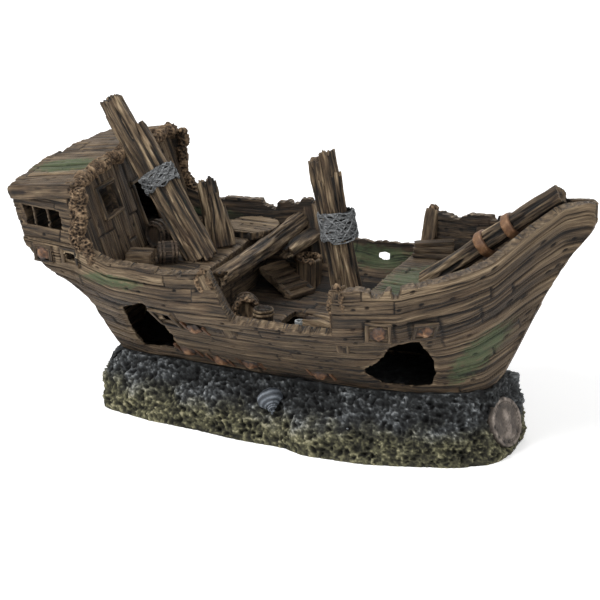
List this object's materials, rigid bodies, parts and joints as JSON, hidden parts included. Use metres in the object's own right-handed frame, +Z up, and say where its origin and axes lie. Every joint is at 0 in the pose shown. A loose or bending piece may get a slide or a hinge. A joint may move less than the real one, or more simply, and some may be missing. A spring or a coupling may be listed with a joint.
{
  "type": "bubbling ornament",
  "caption": "Aquarium ornament in the shape of a wrecked galleon on a rock strip, with swim-through holes, an open stern cabin and an air outlet tube in the hold.",
  "frame": {"origin": "on the ground under the middle of the overall length and beam", "axes": "+X toward the bow, +Y to port, +Z up"},
  "size_m": [0.332, 0.165, 0.1788],
  "materials": {
    "weathered_wood": "hand-painted polyresin, weathered brown timber",
    "rock": "hand-painted polyresin, charcoal rock with yellow-green growth",
    "rope": "hand-painted polyresin, grey-white rope",
    "rusty_iron": "hand-painted polyresin, rusty iron",
    "shell": "hand-painted polyresin, blue-grey shell",
    "old_coin": "hand-painted polyresin, worn beige-grey metal",
    "clear_tube": "translucent grey vinyl",
    "inlet_plastic": "black moulded plastic"
  },
  "bodies": {
    "root": {"hull_starboard": "weathered_wood", "hull_port": "weathered_wood", "aft_bulwark_posts": "weathered_wood", "fore_bulwark_posts": "weathered_wood", "quarter_deck": "weathered_wood", "waist_deck": "weathered_wood", "fore_deck": "weathered_wood", "quarter_deck_front": "weathered_wood", "fore_deck_front": "weathered_wood", "cabin_side_starboard": "weathered_wood", "cabin_side_port": "weathered_wood", "stern_wall": "weathered_wood", "cabin_bulkhead": "weathered_wood", "cabin_roof": "weathered_wood", "aft_mast": "weathered_wood", "fore_mast": "weathered_wood", "mast_stub": "weathered_wood", "bowsprit": "weathered_wood", "fallen_spar": "weathered_wood", "second_spar": "weathered_wood", "stair_flight": "weathered_wood", "hatch_cover": "weathered_wood", "crate": "weathered_wood", "deck_casks": "weathered_wood", "hold_barrel": "weathered_wood", "hold_keg": "weathered_wood", "broken_tub": "weathered_wood", "split_logs": "weathered_wood", "loose_planks": "weathered_wood", "port_frames": "weathered_wood", "rock_base": "rock", "barnacle": "rock", "aft_mast_lashing": "rope", "fore_mast_lashing": "rope", "bowsprit_bands": "rusty_iron", "port_knobs": "rusty_iron", "snail_shell": "shell", "coin": "old_coin", "air_tube": "clear_tube", "air_inlet": "inlet_plastic"}
  },
  "joints": []
}
